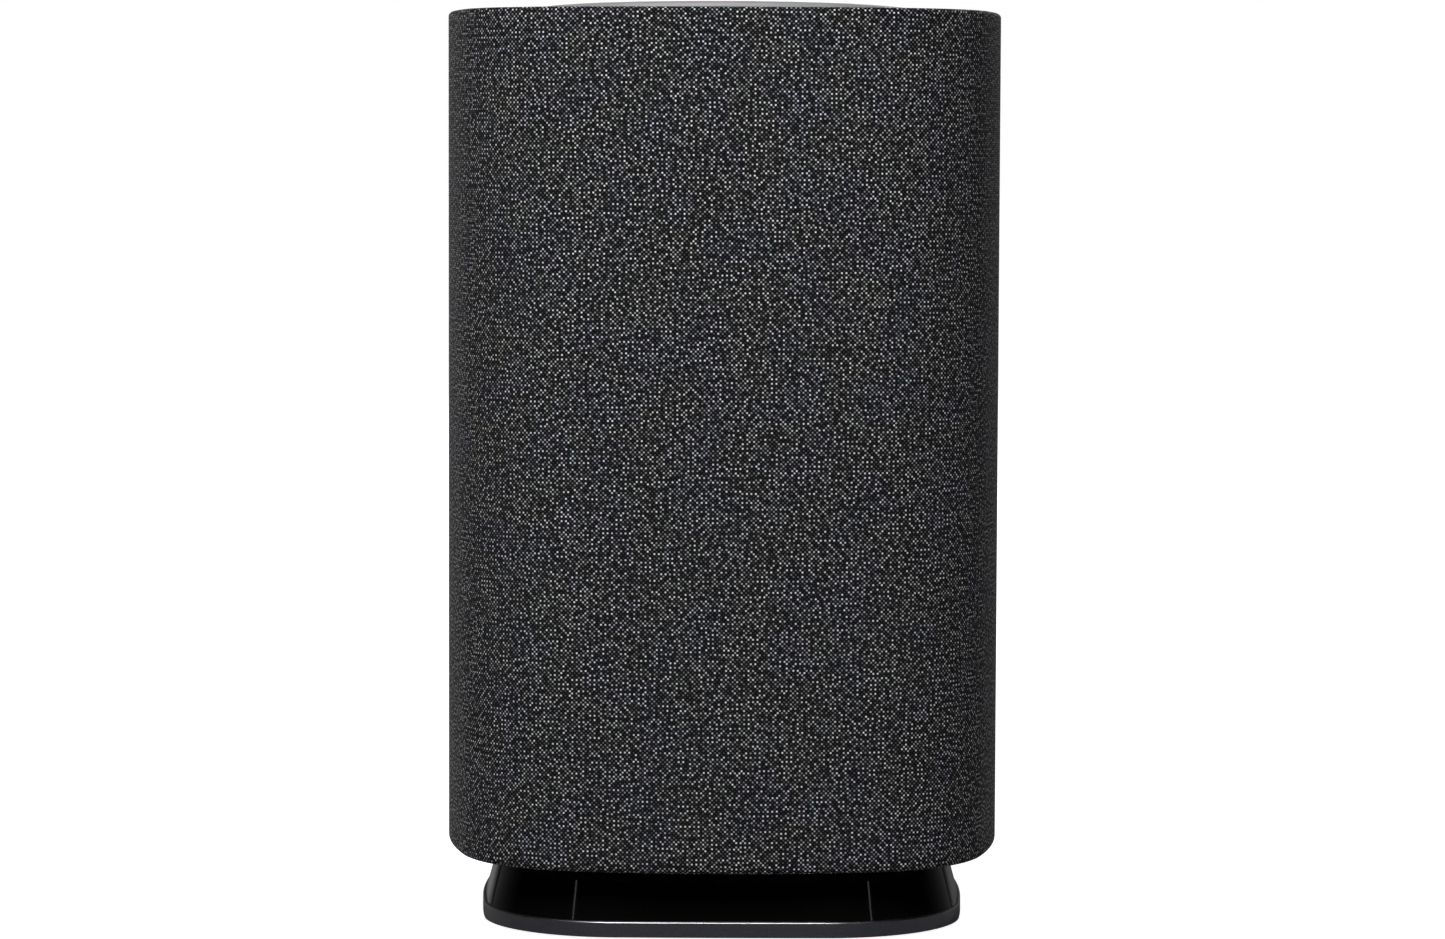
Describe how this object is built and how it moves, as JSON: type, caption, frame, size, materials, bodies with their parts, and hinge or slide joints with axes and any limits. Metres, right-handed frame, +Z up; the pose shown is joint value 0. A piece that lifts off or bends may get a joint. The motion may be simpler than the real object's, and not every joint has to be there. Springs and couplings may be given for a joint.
{
  "type": "smart speaker",
  "caption": "Upright fabric-covered smart speaker with a rounded-square plan, raised control panel on top and a flared gloss base on a metal plate.",
  "frame": {"origin": "middle of the underside of the rubber foot", "axes": "+Z up, front faces -Y, +X to the right seen from the front"},
  "size_m": [0.104, 0.098, 0.1709],
  "materials": {
    "rubber": "matte black rubber",
    "gunmetal": "satin gunmetal, fine horizontal brushing, bright chamfer",
    "gloss_black": "piano black",
    "screw_steel": "blackened steel",
    "brass": "turned brass",
    "black_plastic": "fine moulded texture",
    "sleeve_plastic": "moulded black",
    "cloth": "charcoal plain weave with lighter flecks",
    "foam": "closed-cell foam",
    "frame_steel": "black painted pressed steel",
    "plated_steel": "zinc plated",
    "ferrite": "ground ferrite",
    "copper": "enamelled copper wire on a former",
    "cone_paper": "coated pulp",
    "silk": "treated silk",
    "panel_grey": "satin light grey",
    "board_green": "solder mask",
    "light_clear": "translucent light pipe",
    "key_grey": "satin light grey",
    "switch_black": "moulded",
    "transformer": "taped winding on a ferrite core",
    "capacitor_sleeve": "shrink sleeve",
    "aluminium": "extruded",
    "wadding": "polyester wadding",
    "rear_plastic": "fine spark texture",
    "pin_nickel": "nickel plated",
    "contact_gold": "gold flash",
    "button_black": "satin",
    "wire": "PVC insulation"
  },
  "bodies": {
    "housing": {"acoustic_wadding": "wadding", "amplifier_board": "board_green", "antennas": "board_green", "baffle_gasket": "foam", "baffle_screws": "screw_steel", "base_plate": "gunmetal", "base_screws": "screw_steel", "base_skirt": "gloss_black", "board_screws": "screw_steel", "board_spacers": "brass", "cabinet": "black_plastic", "driver_screws": "screw_steel", "fabric_sleeve": "cloth", "front_baffle": "black_plastic", "grille_sleeve": "sleeve_plastic", "heat_sink": "aluminium", "inlet_pins": "pin_nickel", "key_board": "board_green", "key_cable": "wire", "key_switches": "switch_black", "left_radiator_frame": "black_plastic", "lower_chassis": "black_plastic", "main_board": "board_green", "microphones": "plated_steel", "network_contacts": "contact_gold", "network_socket": "plated_steel", "power_inlet": "rear_plastic", "power_supply_board": "board_green", "power_transformer": "transformer", "radiator_screws": "screw_steel", "rear_panel": "rear_plastic", "rear_panel_screws": "screw_steel", "right_radiator_frame": "black_plastic", "rubber_foot": "rubber", "shield_cans": "plated_steel", "smoothing_capacitors": "capacitor_sleeve", "speaker_leads": "wire", "stand_insert": "brass", "status_light": "light_clear", "top_panel": "panel_grey", "top_tray": "black_plastic", "tray_screws": "screw_steel", "tweeter_frame": "black_plastic", "tweeter_magnet": "plated_steel", "woofer_frame": "frame_steel", "woofer_magnet": "ferrite", "woofer_pole_piece": "plated_steel", "woofer_top_plate": "plated_steel"},
    "woofer_cone_assembly": {"woofer_cone": "cone_paper", "woofer_surround": "rubber", "woofer_dust_cap": "cone_paper", "woofer_voice_coil": "copper"},
    "tweeter_dome_assembly": {"tweeter_dome": "silk"},
    "left_radiator_mover": {"left_radiator": "rubber"},
    "right_radiator_mover": {"right_radiator": "rubber"},
    "play": {"play_key": "key_grey"},
    "volume_down": {"volume_down_key": "key_grey"},
    "volume_up": {"volume_up_key": "key_grey"},
    "mic_mute": {"mic_mute_key": "key_grey"},
    "pairing": {"pairing_button": "button_black"}
  },
  "joints": [
    {"name": "woofer_stroke", "type": "slide", "parent": "housing", "child": "woofer_cone_assembly", "axis": [0, -1, 0], "range_m": [-0.003, 0.003], "stiffness_N_per_m": 1200},
    {"name": "tweeter_stroke", "type": "slide", "parent": "housing", "child": "tweeter_dome_assembly", "axis": [0, -1, 0], "range_m": [-0.0003, 0.0003], "stiffness_N_per_m": 3000},
    {"name": "left_radiator_stroke", "type": "slide", "parent": "housing", "child": "left_radiator_mover", "axis": [-1, 0, 0], "range_m": [-0.0015, 0.0015], "stiffness_N_per_m": 1500},
    {"name": "right_radiator_stroke", "type": "slide", "parent": "housing", "child": "right_radiator_mover", "axis": [1, 0, 0], "range_m": [-0.0015, 0.0015], "stiffness_N_per_m": 1500},
    {"name": "play_press", "type": "slide", "parent": "housing", "child": "play", "axis": [0, 0, -1], "range_m": [0, 0.0005], "stiffness_N_per_m": 800, "springref_m": -0.001},
    {"name": "volume_down_press", "type": "slide", "parent": "housing", "child": "volume_down", "axis": [0, 0, -1], "range_m": [0, 0.0005], "stiffness_N_per_m": 800, "springref_m": -0.001},
    {"name": "volume_up_press", "type": "slide", "parent": "housing", "child": "volume_up", "axis": [0, 0, -1], "range_m": [0, 0.0005], "stiffness_N_per_m": 800, "springref_m": -0.001},
    {"name": "mic_mute_press", "type": "slide", "parent": "housing", "child": "mic_mute", "axis": [0, 0, -1], "range_m": [0, 0.0005], "stiffness_N_per_m": 800, "springref_m": -0.001},
    {"name": "pairing_press", "type": "slide", "parent": "housing", "child": "pairing", "axis": [0, -1, 0], "range_m": [0, 0.0006], "stiffness_N_per_m": 800, "springref_m": -0.001}
  ]
}
